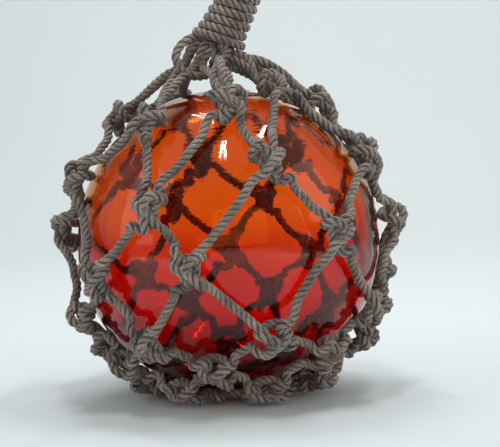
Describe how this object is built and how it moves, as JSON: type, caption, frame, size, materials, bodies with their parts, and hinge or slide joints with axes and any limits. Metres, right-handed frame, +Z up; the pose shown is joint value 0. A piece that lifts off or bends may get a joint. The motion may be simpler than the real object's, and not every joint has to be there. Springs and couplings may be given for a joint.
{
  "type": "glass float ball",
  "caption": "See-through red and orange blown glass float ball held in a knotted rope net, with a whipped rope neck and a rope eye to hang it by.",
  "frame": {"origin": "on the surface that the float stands on, under the middle of the glass ball", "axes": "+Z up along the ball's upright axis, +X to the side that the neck leans to, -Y to the front"},
  "size_m": [0.2361, 0.2348, 0.3266],
  "materials": {
    "glass": "see-through blown glass, orange above and red at the sides and below",
    "rope": "grey-brown tarred laid rope"
  },
  "bodies": {
    "root": {"glass_ball": "glass", "net": "rope", "whipping": "rope", "hanging_loop": "rope"}
  },
  "joints": []
}
